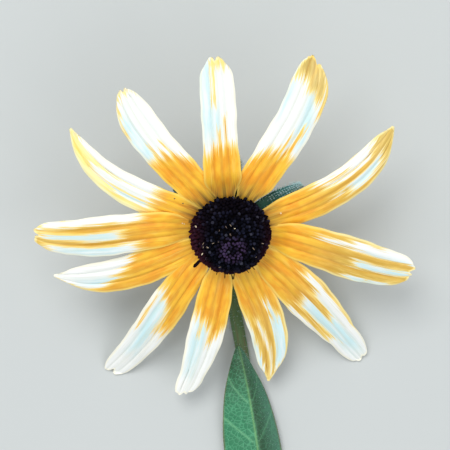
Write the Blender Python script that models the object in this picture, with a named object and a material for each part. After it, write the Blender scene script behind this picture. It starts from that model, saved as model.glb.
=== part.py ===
"""A black eyed susan flower head with its stem and one leaf, as cut.

It lies on its back: the head faces up and leans towards -Y, its neck bends
round to the surface and the stem lies along it, away from the head. X is to
the right and Y up as one looks down on the face, and Z = 0 is the surface.
The origin is under the middle of the bounding box. Lengths here are in
millimetres, and only new_object turns them into metres.
"""
import math
from dataclasses import dataclass

import bmesh
import bpy
import numpy as np
from mathutils import Vector, geometry

MM = 0.001

# How the head leans, in degrees: towards -Y, and then a little towards +X
HEAD_TILT = 26.5
HEAD_ROLL = 4.0

# Stem: its radii, the bend of its neck and how it sinks its rounded underside flat
STEM_RADIUS = 1.3
STEM_TOP_RADIUS = 1.9
STEM_CUT_RADIUS = 1.45
STEM_AXIS_Z = 1.15
STEM_SIDES = 12
NECK_BEND = 11.0
NECK_START = 5.2

# The stem's way along the surface, from under the head, x and y from the head
STEM_ROUTE = ((0.0, -8.5), (0.6, -14.0), (2.4, -24.0), (5.2, -41.0),
              (9.4, -70.0), (14.6, -100.0), (17.0, -118.0))

# Where the head's middle stands over the surface
TILT = math.radians(HEAD_TILT)
HEAD_X = 0.82
HEAD_Y = 41.9
HEAD_Z = STEM_AXIS_Z + NECK_BEND * (1 + math.sin(TILT)) + NECK_START * math.cos(TILT)

# The gap that two touching pieces keep
SEAT_GAP = 0.3

# Cone of disc florets
CONE_RADIUS = 8.1
CONE_HEIGHT = 8.9
CONE_FLORETS = 330
CONE_BASE_INSET = 0.9
FLORET_RELIEF = 0.55
FLORET_HOLLOW = 0.22
GOLDEN_ANGLE = math.pi * (3.0 - math.sqrt(5.0))

# Rays: the ring that carries them, their thickness and the levels they overlap at
RING_INNER = 5.0
RING_OUTER = 7.9
RING_DEPTH = 0.8
RING_SIDES = 48
RING_TURN = 2.0
RAY_THICKNESS = 0.62
RAY_ROOT = 6.4
RIM_CLEAR = 8.7
LEVEL_STEP = 0.85
GROOVE_DEPTH = 0.26
GROOVE_PLACE = 0.4
GROOVE_WIDTH = 0.13
RAY_ROWS = 13
RAY_COLUMNS = (-1.0, -0.75, -0.4, -0.18, 0.0, 0.18, 0.4, 0.75, 1.0)

# A ray's shape: how far out its azimuths and widths are given, where its narrow root
# ends, how it rises clear of the rim, arches, droops and cups, and how its tip rounds
AZIMUTH_PLACES = (10.0, 24.0)
WIDTH_PLACES = (10.0, 22.0, 32.0)
WIDTH_LIMITS = (10.0, 34.0)
ROOT_END = 12.0
ROOT_RUN = 5.0
RISE_RUN = 4.5
ARCH = 0.7
ARCH_SPREAD = 1.15
DROOP_FROM = 9.0
DROOP_POWER = 1.8
CUPPING = 0.1
TIP_SHARE = 0.2
TIP_ROUNDING = 1.0
NOTCH_WIDTH = 0.3
ROW_CROWDING = 1.5

# Receptacle cup, as radius and depth behind the head's middle
BOSS_RADIUS = 4.4
CUP_PROFILE = ((4.4, 1.5), (6.3, 1.5), (6.8, 2.0), (6.4, 2.9), (5.0, 3.9), (3.2, 4.6), (2.1, 4.9))
CUP_SIDES = 28

# Bracts: two rows of eight, and a long one that shows between two rays
BRACT_THICKNESS = 0.6
BRACT_ROOT = 4.6
BRACT_COUNT = 8
BRACT_ROWS = 7
BRACT_POINT = 0.16
LONG_BRACT = 1
LONG_BRACT_TURN = -11.5
LONG_BRACT_REACH = 17.0
LONG_BRACT_WIDTH = 3.5

# Leaf: its length along the stem, its half width at the base and what it swells by,
# how its two halves drape from the stem, and its relief
LEAF_BASE_Y = -73.0
LEAF_TIP_Y = -23.6
LEAF_THICKNESS = 0.6
LEAF_RIDGE = 3.75
LEAF_BASE_HALF = 2.6
LEAF_SWELL = 4.2
LEAF_RIGHT_SHARE = 0.72
LEAF_SLOPE_LEFT = 0.40
LEAF_SLOPE_RIGHT = 0.66
LEAF_RIDGE_ROUND = 0.35
LEAF_SWEEP = 2.2
LEAF_WAVE = 0.28
LEAF_WAVES = 3.2
LEAF_ROWS = 26
LEAF_COLUMNS = (-1.0, -0.74, -0.48, -0.24, -0.08, 0.08, 0.24, 0.48, 0.74, 1.0)
VEIN_PAIRS = 6
VEIN_RELIEF = 0.22


@dataclass
class Ray:
    """One ray: azimuths in degrees at 10 mm, 24 mm and its tip, sizes in mm."""
    azimuths: tuple
    reach: float
    widths: tuple          # full widths at 10 mm, 22 mm and 32 mm out
    end: float = 0.35      # width left at the tip edge, as a share
    bluntness: float = 13.0
    notch: float = 0.0     # depth of the notch in the tip edge
    notch_at: float = 0.0
    slant: float = 0.0     # how much further the anticlockwise corner reaches
    pinch: float = 0.3     # how much narrower its root is, as a share
    level: int = 0
    drop: float = 2.4      # how far the tip hangs below the head's plane


RAYS = (
    Ray((99, 96.8, 96.4), 38.1, (7.8, 6.9, 7.2), pinch=0.48, notch=1.1, level=1, drop=2.0),
    Ray((66.5, 63.2, 67.6), 40.8, (7.2, 8.2, 8.2), pinch=0.48, bluntness=15, notch=1.2,
        notch_at=-0.3, slant=0.6, drop=2.6),
    Ray((20.5, 24.2, 36), 39.3, (6.6, 7.4, 7.0), pinch=0.36, end=0.13, bluntness=12, drop=3.0),
    Ray((-8, -13.8, -14), 38.9, (6.6, 9.2, 8.6), end=0.52, bluntness=16, notch=0.9, slant=0.2,
        level=2, drop=2.2),
    Ray((320, 316.8, 313.9), 41.5, (6.2, 9.2, 7.1), end=0.62, bluntness=20, notch=0.9,
        notch_at=0.15, level=1, drop=6.6),
    Ray((289.6, 290.9, 284.7), 35.9, (6.0, 7.9, 6.4), end=0.12, bluntness=11, drop=0.8),
    Ray((259.6, 260, 257.3), 38.8, (5.6, 7.4, 5.8), end=0.7, bluntness=24, notch=0.5,
        slant=-0.6, level=1, drop=0.9),
    Ray((230, 235, 233.8), 40.9, (5.8, 7.7, 6.6), end=0.68, bluntness=20, notch=1.4, drop=8.2),
    Ray((206.5, 204.2, 196), 36.8, (5.8, 7.7, 6.4), end=0.1, bluntness=10, drop=3.4),
    Ray((177, 182.6, 181.1), 39.4, (6.6, 8.9, 7.9), end=0.5, bluntness=15, notch=1.1,
        level=1, drop=2.6),
    Ray((156, 155.6, 145), 39.2, (6.2, 6.5, 5.1), pinch=0.34, end=0.12, bluntness=12, drop=2.4),
    Ray((126, 128.8, 125.6), 38.0, (6.8, 7.4, 7.5), pinch=0.42, end=0.36, bluntness=11,
        notch=0.7, drop=2.2),
)


def smooth_step(x):
    x = np.clip(x, 0.0, 1.0)
    return x * x * (3.0 - 2.0 * x)


def through_three(x, knots, values):
    """The parabola through three points, at x."""
    (a, b, c), (p, q, r) = knots, values
    return (p * (x - b) * (x - c) / ((a - b) * (a - c))
            + q * (x - a) * (x - c) / ((b - a) * (b - c))
            + r * (x - a) * (x - b) / ((c - a) * (c - b)))


def head_axes():
    """Unit vectors of the head: azimuth 0, azimuth 90 and out of its face."""
    roll = math.radians(HEAD_ROLL)
    turn = np.array(((math.cos(roll), 0, math.sin(roll)), (0, 1, 0),
                     (-math.sin(roll), 0, math.cos(roll))))
    lean = np.array(((1, 0, 0), (0, math.cos(TILT), -math.sin(TILT)),
                     (0, math.sin(TILT), math.cos(TILT))))
    return (turn @ lean).T


def on_head(x, y, z):
    """Points given in the head's own axes, in the row's frame."""
    across, up, out = head_axes()
    x, y, z = (np.asarray(v, dtype=float)[..., None] for v in (x, y, z))
    return np.array((HEAD_X, HEAD_Y, HEAD_Z)) + x * across + y * up + z * out


def paint(obj, name, colour, roughness):
    material = bpy.data.materials.new(name)
    material.use_nodes = True
    shader = material.node_tree.nodes["Principled BSDF"]
    shader.inputs["Base Color"].default_value = (*colour, 1.0)
    shader.inputs["Roughness"].default_value = roughness
    obj.data.materials.clear()
    obj.data.materials.append(material)


def new_object(name, points, faces):
    """A mesh object from points in millimetres."""
    mesh = bpy.data.meshes.new(name)
    mesh.from_pydata([tuple(p * MM for p in point) for point in points], [], faces)
    mesh.validate()
    obj = bpy.data.objects.new(name, mesh)
    bpy.context.scene.collection.objects.link(obj)
    return obj


def blade(name, grid, thickness, floor=None):
    """A closed blade round a grid of points, cut into the same triangles on both faces."""
    along = np.gradient(grid, axis=0)
    across = np.gradient(grid, axis=1)
    normal = np.cross(along, across)
    normal /= np.linalg.norm(normal, axis=2, keepdims=True)
    if normal[..., 2].mean() < 0:
        normal = -normal
    upper = grid + normal * thickness / 2
    lower = grid - normal * thickness / 2
    if floor is not None:
        sunk = np.maximum(floor - lower[..., 2], 0.0)
        lower[..., 2] += sunk
        upper[..., 2] += sunk
    rows, columns = grid.shape[:2]
    count = rows * columns
    points = np.concatenate((upper.reshape(-1, 3), lower.reshape(-1, 3)))
    faces = []
    for i in range(rows - 1):
        for j in range(columns - 1):
            a, b = i * columns + j, i * columns + j + 1
            c, d = a + columns, b + columns
            halves = ((a, c, b), (b, c, d)) if (j < columns // 2) else ((a, c, d), (a, d, b))
            for half in halves:
                faces.append(half)
                faces.append(tuple(k + count for k in reversed(half)))
    rim = list(range(columns))
    rim += [i * columns + columns - 1 for i in range(1, rows)]
    rim += [(rows - 1) * columns + j for j in range(columns - 2, -1, -1)]
    rim += [i * columns for i in range(rows - 2, 0, -1)]
    for a, b in zip(rim, rim[1:] + rim[:1]):
        faces.append((a, b, b + count))
        faces.append((a, b + count, a + count))
    obj = new_object(name, points, faces)
    face_outwards(obj)
    return obj


def face_outwards(obj):
    bm = bmesh.new()
    bm.from_mesh(obj.data)
    bmesh.ops.recalc_face_normals(bm, faces=bm.faces)
    bm.to_mesh(obj.data)
    bm.free()


def turned(name, profile, sides):
    """A closed solid turned round the head's axis, from its top centre to its bottom."""
    angles = [2 * math.pi * k / sides for k in range(sides)]
    rings = [[(r * math.cos(a), r * math.sin(a), z) for a in angles] for r, z in profile]
    points = [p for ring in rings for p in ring]
    faces = [tuple(range(sides)), tuple(range((len(profile) - 1) * sides, len(profile) * sides))]
    for i in range(len(profile) - 1):
        for k in range(sides):
            n = (k + 1) % sides
            faces.append((i * sides + k, i * sides + n, (i + 1) * sides + n, (i + 1) * sides + k))
    x, y, z = np.array(points).T
    obj = new_object(name, on_head(x, y, z), faces)
    face_outwards(obj)
    return obj


def union(body, parts):
    """Fuse the parts with the body by one Boolean on a collection, and remove them."""
    group = bpy.data.collections.new(body.name + "_parts")
    for part in parts:
        group.objects.link(part)
    modifier = body.modifiers.new("fuse", "BOOLEAN")
    modifier.operation = "UNION"
    modifier.operand_type = "COLLECTION"
    modifier.collection = group
    modifier.solver = "MANIFOLD"
    bpy.context.view_layer.update()
    evaluated = body.evaluated_get(bpy.context.evaluated_depsgraph_get())
    mesh = bpy.data.meshes.new_from_object(evaluated)
    body.modifiers.clear()
    body.data = mesh
    for part in parts:
        bpy.data.objects.remove(part)
    bpy.data.collections.remove(group)


def shade_round(obj, angle=50.0):
    obj.data.shade_smooth()
    obj.data.set_sharp_from_angle(angle=math.radians(angle))


def ray_grid(ray, rows, columns):
    """The middle surface of one ray, as rows from root to tip and columns across it."""
    q = np.linspace(0.0, 1.0, rows)[:, None]
    t = np.asarray(columns, dtype=float)[None, :]
    s = 1.0 - (1.0 - q) ** ROW_CROWDING
    tip_edge = (TIP_ROUNDING * t ** 2 + ray.notch * np.exp(-((t - ray.notch_at) / NOTCH_WIDTH) ** 2)
                - ray.slant * t)
    reach = ray.reach - tip_edge * smooth_step((s - 1.0 + TIP_SHARE) / TIP_SHARE)
    r = RAY_ROOT + s * (reach - RAY_ROOT)
    azimuth = np.radians(through_three(r, (*AZIMUTH_PLACES, ray.reach), ray.azimuths))
    width = through_three(np.clip(r, *WIDTH_LIMITS), WIDTH_PLACES, ray.widths)
    width = width * (1.0 - ray.pinch * smooth_step((ROOT_END - r) / ROOT_RUN))
    half = 0.5 * width * (1.0 - (1.0 - ray.end) * s ** ray.bluntness)
    side = half * t
    x = r * np.cos(azimuth) - side * np.sin(azimuth)
    y = r * np.sin(azimuth) + side * np.cos(azimuth)
    grooves = sum(np.exp(-((t - g) / GROOVE_WIDTH) ** 2) for g in (-GROOVE_PLACE, GROOVE_PLACE))
    out = smooth_step((r - RIM_CLEAR) / RISE_RUN)
    droop = np.clip((r - DROOP_FROM) / (ray.reach - DROOP_FROM), 0.0, None) ** DROOP_POWER
    arch = np.sin(math.pi * np.clip(s * ARCH_SPREAD, 0.0, 1.0))
    height = (ray.level * LEVEL_STEP + ARCH * arch - CUPPING * half * t ** 2
              - GROOVE_DEPTH * grooves * (1.0 - 0.6 * s ** 6)) * out - ray.drop * droop
    grid = on_head(x, y, -SEAT_GAP - RAY_THICKNESS / 2 + 0.0 * x)
    grid[..., 2] += height
    grid[..., 2] = np.maximum(grid[..., 2], RAY_THICKNESS / 2)
    return grid


def ray_petals():
    """Twelve rays fused round the ring that carries them."""
    parts = [blade("ray_%d" % k, ray_grid(ray, RAY_ROWS, RAY_COLUMNS), RAY_THICKNESS, floor=0.0)
             for k, ray in enumerate(RAYS)]
    top, bottom = -SEAT_GAP, -SEAT_GAP - RING_DEPTH
    sides = RING_SIDES
    angles = np.radians(np.arange(sides) * 360.0 / sides + RING_TURN)
    points, faces = [], []
    corners = ((RING_INNER, top), (RING_OUTER, top), (RING_OUTER, bottom), (RING_INNER, bottom))
    for radius, depth in corners:
        points += list(on_head(radius * np.cos(angles), radius * np.sin(angles), depth + 0 * angles))
    for ring in range(4):
        for k in range(sides):
            n, after = (k + 1) % sides, (ring + 1) % 4
            faces.append((ring * sides + k, ring * sides + n, after * sides + n, after * sides + k))
    body = new_object("ray_petals", points, faces)
    face_outwards(body)
    union(body, parts)
    shade_round(body, 60)
    paint(body, "ray_yellow", (0.93, 0.55, 0.06), 0.6)
    return body


def cone_point(radius, azimuth, lift):
    """A point of the dome at a share of its plan radius, lifted off its surface."""
    across = CONE_RADIUS * radius
    rise = CONE_HEIGHT * math.sqrt(max(0.0, 1.0 - radius ** 2))
    normal = Vector((across / CONE_RADIUS ** 2, 0.0, rise / CONE_HEIGHT ** 2)).normalized()
    out = across + lift * normal.x
    return (out * math.cos(azimuth), out * math.sin(azimuth), rise + lift * normal.z)


def disc_cone():
    """A dome with its florets raised in the spirals of a sunflower's disc."""
    polars = [math.acos(1.0 - (k + 0.5) / CONE_FLORETS) for k in range(CONE_FLORETS)]
    azimuths = [k * GOLDEN_ANGLE for k in range(CONE_FLORETS)]
    flat = [Vector((p * math.cos(a), p * math.sin(a))) for p, a in zip(polars, azimuths)]
    _, _, triangles, origins, *_ = geometry.delaunay_2d_cdt(flat, [], [], 0, 1e-6)
    order = [origin[0] for origin in origins]
    points = [cone_point(math.sin(polars[k]), azimuths[k], FLORET_RELIEF) for k in order]
    faces = []
    sides = set()
    for tri in triangles:
        middle = sum((flat[order[k]] for k in tri), Vector((0.0, 0.0))) / 3
        radius = math.sin(min(middle.length, math.pi / 2))
        points.append(cone_point(radius, math.atan2(middle.y, middle.x), -FLORET_HOLLOW))
        for a, b in zip(tri, (*tri[1:], tri[0])):
            faces.append((a, b, len(points) - 1))
            sides.add((a, b))
    following = {a: b for a, b in sides if (b, a) not in sides}
    loop = [min(following)]
    while following[loop[-1]] != loop[0]:
        loop.append(following[loop[-1]])
    base = len(points)
    for k in loop:
        x, y, _ = points[k]
        shrink = (CONE_RADIUS - CONE_BASE_INSET) / math.hypot(x, y)
        points.append((x * shrink, y * shrink, 0.0))
    for i, k in enumerate(loop):
        j = (i + 1) % len(loop)
        faces.append((k, base + i, base + j, loop[j]))
    faces.append(tuple(base + i for i in range(len(loop))))
    x, y, z = np.array(points).T
    body = new_object("disc_cone", on_head(x, y, z), faces)
    face_outwards(body)
    paint(body, "cone_black", (0.02, 0.009, 0.012), 0.75)
    return body


def bract(name, azimuth, reach, width, slope, depth, curl):
    """One narrow bract, from inside the cup outwards and back."""
    columns = np.array((-1.0, 0.0, 1.0))[None, :]
    s = (1.0 - (1.0 - np.linspace(0.0, 1.0, BRACT_ROWS)) ** 1.3)[:, None]
    r = BRACT_ROOT + s * (reach - BRACT_ROOT) - 0.5 * np.abs(columns) * smooth_step((s - 0.8) / 0.2)
    half = 0.5 * width * (1.0 - (1.0 - BRACT_POINT) * s ** 4) * (0.8 + 0.2 * np.sin(math.pi * s))
    angle = math.radians(azimuth)
    x = r * math.cos(angle) - half * columns * math.sin(angle)
    y = r * math.sin(angle) + half * columns * math.cos(angle)
    z = -depth - (r - BRACT_ROOT) * math.tan(math.radians(slope)) - curl * s ** 3
    z = z - 0.25 * half * np.abs(columns)
    return blade(name, on_head(x, y, z), BRACT_THICKNESS)


def involucre():
    """The receptacle cup with its boss, and its two rows of bracts fused on."""
    profile = [(BOSS_RADIUS, -SEAT_GAP)] + [(r, -z) for r, z in CUP_PROFILE]
    body = turned("involucre", profile, CUP_SIDES)
    parts = []
    for k in range(BRACT_COUNT):
        turn = 360.0 * k / BRACT_COUNT
        if k == LONG_BRACT:
            parts.append(bract("upper_%d" % k, turn + LONG_BRACT_TURN, LONG_BRACT_REACH,
                               LONG_BRACT_WIDTH, slope=0.5, depth=2.2, curl=0.2))
        else:
            parts.append(bract("upper_%d" % k, turn - 5.0, 13.4 + 0.7 * (k % 3), 2.7,
                               slope=6.0 + 2.0 * (k % 2), depth=2.2, curl=1.2))
        parts.append(bract("lower_%d" % k, turn + 18.0, 11.6 + 0.8 * ((k + 1) % 3), 2.5,
                           slope=20.0 + 3.0 * (k % 3), depth=2.7, curl=2.4))
    union(body, parts)
    shade_round(body)
    paint(body, "bract_green", (0.10, 0.17, 0.07), 0.8)
    return body


def smooth_route(points, step):
    """A Catmull-Rom curve through the points, with a point about every step."""
    points = np.asarray(points, dtype=float)
    ends = np.vstack((2 * points[0] - points[1], points, 2 * points[-1] - points[-2]))
    route = []
    for a, b, c, d in zip(ends, ends[1:], ends[2:], ends[3:]):
        count = max(1, round(np.linalg.norm(c - b) / step))
        for u in np.arange(count)[:, None] / count:
            route.append((0.5 * (2 * b + (c - a) * u + (2 * a - 5 * b + 4 * c - d) * u ** 2
                                 + (3 * b - a - 3 * c + d) * u ** 3))[0:3])
    route.append(points[-1])
    return np.array(route)


def stem_route():
    """The stem's axis: out of the cup, round the neck's bend and along the surface."""
    start = on_head(0, 0, -NECK_START).reshape(3)
    points = []
    for degrees in np.linspace(0.0, 90.0 + HEAD_TILT, 9):
        angle = math.radians(degrees) - TILT
        share = degrees / (90.0 + HEAD_TILT)
        y = start[1] - NECK_BEND * (math.cos(TILT) - math.cos(angle))
        z = start[2] - NECK_BEND * (math.sin(TILT) + math.sin(angle))
        points.append(((start[0] - HEAD_X) * (1 - share) + HEAD_X, y, z))
    for x, y in STEM_ROUTE[1:]:
        points.append((HEAD_X + x, HEAD_Y + y, STEM_AXIS_Z))
    return smooth_route(points, 2.6)


def stem():
    route = stem_route()
    run = np.concatenate(([0.0], np.cumsum(np.linalg.norm(np.diff(route, axis=0), axis=1))))
    tangents = np.gradient(route, axis=0)
    tangents /= np.linalg.norm(tangents, axis=1, keepdims=True)
    points, faces = [], []
    for centre, tangent, length in zip(route, tangents, run):
        flare = (STEM_TOP_RADIUS - STEM_RADIUS) * (1 - smooth_step(length / 7.0))
        thicken = (STEM_CUT_RADIUS - STEM_RADIUS) * smooth_step((length - 40.0) / (run[-1] - 40.0))
        side = np.array((1.0, 0.0, 0.0)) - tangent[0] * tangent
        side /= np.linalg.norm(side)
        up = np.cross(side, tangent)
        for k in range(STEM_SIDES):
            angle = 2 * math.pi * (k + 0.5) / STEM_SIDES
            offset = (STEM_RADIUS + flare + thicken) * (math.cos(angle) * side + math.sin(angle) * up)
            point = centre + offset
            point[2] = max(point[2], 0.0)
            points.append(point)
    for i in range(len(route) - 1):
        for k in range(STEM_SIDES):
            n = (k + 1) % STEM_SIDES
            a, b = i * STEM_SIDES, (i + 1) * STEM_SIDES
            faces.append((a + k, a + n, b + n, b + k))
    faces.append(tuple(range(STEM_SIDES)))
    faces.append(tuple((len(route) - 1) * STEM_SIDES + k for k in range(STEM_SIDES)))
    body = new_object("stem", points, faces)
    face_outwards(body)
    shade_round(body)
    paint(body, "stem_green", (0.13, 0.22, 0.08), 0.65)
    return body


def leaf_grid(rows, columns):
    """The leaf's middle surface: over the stem, one half each side of it."""
    s = np.linspace(0.0, 1.0, rows)[:, None]
    t = np.asarray(columns, dtype=float)[None, :]
    route = stem_route()
    y_mid = LEAF_BASE_Y + s * (LEAF_TIP_Y - LEAF_BASE_Y)
    order = np.argsort(route[:, 1])
    x_mid = np.interp(HEAD_Y + y_mid, route[order, 1], route[order, 0]) - HEAD_X
    half = LEAF_BASE_HALF + LEAF_SWELL * np.sin(math.pi * np.clip(s * 0.86 + 0.05, 0, 1)) ** 0.9
    half = half * (1.0 - 0.9 * s ** 9)
    side = half * t * np.where(t > 0, LEAF_RIGHT_SHARE, 1.0)
    x = x_mid + side - 0.5 * s ** 6
    y = y_mid + 0.15 * side - LEAF_SWEEP * t ** 2 * s ** 2 * (1 - s ** 4)
    slope = np.where(t > 0, LEAF_SLOPE_RIGHT, LEAF_SLOPE_LEFT)
    drape = np.sqrt((slope * side) ** 2 + LEAF_RIDGE_ROUND) - math.sqrt(LEAF_RIDGE_ROUND)
    wave = LEAF_WAVE * np.sin(2 * math.pi * (s * LEAF_WAVES + 0.2 * np.sign(t))) * t ** 2
    vein = np.cos(2 * math.pi * (VEIN_PAIRS * s - 0.9 * np.abs(t))) * np.abs(t) * (1 - t ** 2)
    z = LEAF_RIDGE - drape + wave + VEIN_RELIEF * vein + 0.5 * smooth_step((s - 0.85) / 0.15)
    z = np.maximum(z, LEAF_THICKNESS / 2 + 0.2)
    return np.stack((HEAD_X + x + 0 * z, HEAD_Y + y + 0 * z, z), axis=2)


def leaf():
    body = blade("leaf", leaf_grid(LEAF_ROWS, LEAF_COLUMNS), LEAF_THICKNESS, floor=0.1)
    shade_round(body, 60)
    paint(body, "leaf_green", (0.08, 0.20, 0.09), 0.6)
    return body


def main():
    for obj in list(bpy.data.objects):
        bpy.data.objects.remove(obj)
    stem()
    leaf()
    involucre()
    ray_petals()
    disc_cone()


main()
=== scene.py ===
"""The looks of a black eyed susan that lies on its back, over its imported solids.

Lengths are in millimetres, as in the flower's own drawing, and new_piece
turns them into metres. The head's own axes are azimuth 0 (to the right),
azimuth 90 (up in the picture) and out of its face. On a ray, a bract and the
leaf, t runs from edge to edge as -1 to 1 and s from root to tip as 0 to 1.
"""
import math
from dataclasses import dataclass

import bmesh
import bpy
import numpy as np
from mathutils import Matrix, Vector


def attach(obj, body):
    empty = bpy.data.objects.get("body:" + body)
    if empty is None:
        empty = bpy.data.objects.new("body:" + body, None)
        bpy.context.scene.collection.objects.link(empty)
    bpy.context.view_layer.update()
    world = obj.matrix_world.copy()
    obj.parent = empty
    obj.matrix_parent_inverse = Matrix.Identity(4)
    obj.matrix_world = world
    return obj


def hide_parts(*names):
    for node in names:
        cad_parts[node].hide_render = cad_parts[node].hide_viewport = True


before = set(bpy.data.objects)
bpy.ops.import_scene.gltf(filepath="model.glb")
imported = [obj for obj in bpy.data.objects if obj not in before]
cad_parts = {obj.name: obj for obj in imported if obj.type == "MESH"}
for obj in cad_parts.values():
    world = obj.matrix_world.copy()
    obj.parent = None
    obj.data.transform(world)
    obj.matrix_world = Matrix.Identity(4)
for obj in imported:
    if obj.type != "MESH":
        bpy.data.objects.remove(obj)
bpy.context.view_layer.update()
MM = 0.001
SEED = 11
rng = np.random.default_rng(SEED)

# The head's place and lean, and the stem, as they are in the solids
HEAD_TILT = 26.5
HEAD_ROLL = 4.0
TILT = math.radians(HEAD_TILT)
STEM_RADIUS = 1.3
STEM_TOP_RADIUS = 1.9
STEM_CUT_RADIUS = 1.45
STEM_AXIS_Z = 1.15
NECK_BEND = 11.0
NECK_START = 5.2
STEM_ROUTE = ((0.0, -8.5), (0.6, -14.0), (2.4, -24.0), (5.2, -41.0),
              (9.4, -70.0), (14.6, -100.0), (17.0, -118.0))
FLARE_RUN = 7.0
THICKEN_FROM = 40.0
HEAD_X = 0.82
HEAD_Y = 41.9
HEAD_Z = STEM_AXIS_Z + NECK_BEND * (1 + math.sin(TILT)) + NECK_START * math.cos(TILT)
SEAT_GAP = 0.3

# The rays' common shape, as it is in the solids
RAY_THICKNESS = 0.62
RAY_ROOT = 6.4
RIM_CLEAR = 8.7
LEVEL_STEP = 0.85
GROOVE_DEPTH = 0.26
GROOVE_PLACE = 0.4
AZIMUTH_PLACES = (10.0, 24.0)
WIDTH_PLACES = (10.0, 22.0, 32.0)
WIDTH_LIMITS = (10.0, 34.0)
ROOT_END = 12.0
ROOT_RUN = 5.0
RISE_RUN = 4.5
ARCH = 0.7
ARCH_SPREAD = 1.15
DROOP_FROM = 9.0
DROOP_POWER = 1.8
CUPPING = 0.1
TIP_SHARE = 0.2
TIP_ROUNDING = 1.0
ROW_CROWDING = 1.5

# The bracts and the leaf, as they are in the solids
BRACT_ROOT = 4.6
BRACT_COUNT = 8
BRACT_POINT = 0.16
LONG_BRACT = 1
LONG_BRACT_TURN = -11.5
LONG_BRACT_REACH = 17.0
LONG_BRACT_WIDTH = 3.5
LEAF_BASE_Y = -73.0
LEAF_TIP_Y = -23.6
LEAF_RIDGE = 3.75
LEAF_BASE_HALF = 2.6
LEAF_SWELL = 4.2
LEAF_RIGHT_SHARE = 0.72
LEAF_SLOPE_LEFT = 0.40
LEAF_SLOPE_RIGHT = 0.66
LEAF_RIDGE_ROUND = 0.35
LEAF_SWEEP = 2.2
LEAF_WAVE = 0.28
LEAF_WAVES = 3.2
VEIN_PAIRS = 6

# What the looks add to a ray: how finely it is drawn, its thin blade and thinner edge,
# the sharper notch and deeper, narrower grooves, its ragged tip, wavy outline, fine ribs
# and the waves of its edge
RAY_ROWS = 120
RAY_COLUMNS = 45
EDGE_CROWDING = 0.35
BLADE_THICKNESS = 0.4
EDGE_THINNING = 0.55
EDGE_RAMP = (0.8, 0.2)
NOTCH_WIDTH = 0.2
GROOVE_WIDTH = 0.1
GROOVE_GAIN = 1.25
RAGGED = 0.22
BROAD_END = 0.2
LONG_WAVE = 0.018
SHORT_WAVE = 0.012
RIB_HEIGHT = 0.035
RIB_RATE = 7.5
EDGE_WAVE = 0.12

# Where a ray's colours change. A ramp is where it starts and its run, which is negative
# where the value falls. Along a ray a mm of a stroke counts as the share ALONG.
ALONG = 0.25
DEEP = 1.6
GROOVE_LINE = 0.09
GROOVE_DELAY = 1.6
LEAST_COOL = 0.1
OCHRE_RAMP = (13.0, 12.0)
TAN_RAMP = (30.0, 5.0)
PALE_RUN = 7.0
# The next two ramps set painted shade at the rays' roots: by a ray's azimuth and by how near the disc
SHADE_RAMP = (-0.3, 0.9)
ROOT_SHADE_RAMP = (12.8, -5.0)
RIM_RAMP = (0.65, -0.42)
NO_WHITE = (60.0,)

# Specks of pollen as seen in plan, x and y from the head's middle, and how bright they are
SPECKS = ((-6.9, 1.4, 0.5), (-6.5, 0.9, 1.0), (0.3, 1.3, 0.5), (0.8, 0.9, 1.0), (0.2, -0.1, 0.4),
          (-0.1, -0.8, 0.3), (-0.7, 0.7, 0.3), (-2.1, 0.5, 0.3), (-2.2, -1.7, 0.4),
          (-3.4, -2.1, 0.5), (-5.6, -2.2, 0.4), (-5.1, -2.6, 0.5), (-4.3, -3.3, 0.6),
          (-4.0, -3.0, 0.4), (-5.2, -4.4, 1.0), (4.6, -3.2, 0.4), (6.2, -2.3, 0.5),
          (4.8, -5.0, 0.4), (-1.7, -7.1, 0.4), (0.7, -8.1, 0.5))
SPECK_LEAN = 0.9
SPECK_SIDES = 5
BRIGHT_POWER = 2.2

# Flecks on the rays, in plan as the specks are, with their radius
FLECKS = ((10.4, 3.5, 0.9, 0.2), (-9.4, 1.5, 0.9, 0.14), (-9.2, 1.3, 0.9, 0.12),
          (-10.8, 6.4, 0.05, 0.16), (-9.4, 5.4, 0.05, 0.16))
FLECK_NEAR = 0.35
FLECK_RISE = (-0.05, 0.04, 0.06)
FLECK_SIDES = 8

# Disc: its dome, its florets' number, width, height and spreads, where its maroon tint is
# in radians, and how steep the dome's edge looks to the camera
GOLDEN = math.pi * (3.0 - math.sqrt(5.0))
DOME_RADIUS = 7.55
DOME_HEIGHT = 8.35
DOME_ROWS = 20
DOME_SIDES = 64
DOME_TOP = 0.02
FLORETS = 820
FLORET_SIDES = 6
FLORET_WIDE = 0.29
FLORET_TALL = 0.50
POLAR_SPREAD = 0.014
AZIMUTH_SPREAD = 0.016
LEAN_SPREAD = 0.13
SUNK = 0.15
MAROON_LEFT = math.radians(222.0)
MAROON_RIGHT = -0.26
EDGE_SLOPE = 0.54

# Bristles at the disc's rim: azimuth and sideways lean in degrees, length and radius, and
# the ring, maroon and pick values that they share
BRISTLES = ((219.0, 4.0, 2.5, 0.36), (271.0, 14.0, 1.8, 0.12), (277.5, -14.0, 1.8, 0.12),
            (249.5, 0.0, 1.3, 0.09), (261.0, 8.0, 1.6, 0.11), (295.0, 20.0, 1.4, 0.08),
            (305.5, 12.0, 1.4, 0.08))
BRISTLE_VALUES = (0.0, 0.15, 0.3)

# Receptacle cup, as radius and depth behind the head's middle
CUP_PROFILE = ((0.0, 0.3), (4.2, 0.35), (4.4, 1.5), (6.3, 1.5), (6.8, 2.0), (6.4, 2.9), (5.0, 3.9),
               (3.2, 4.6), (2.1, 4.9), (0.0, 4.95))
CUP_SIDES = 64
CUP_STEPS = 4

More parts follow.
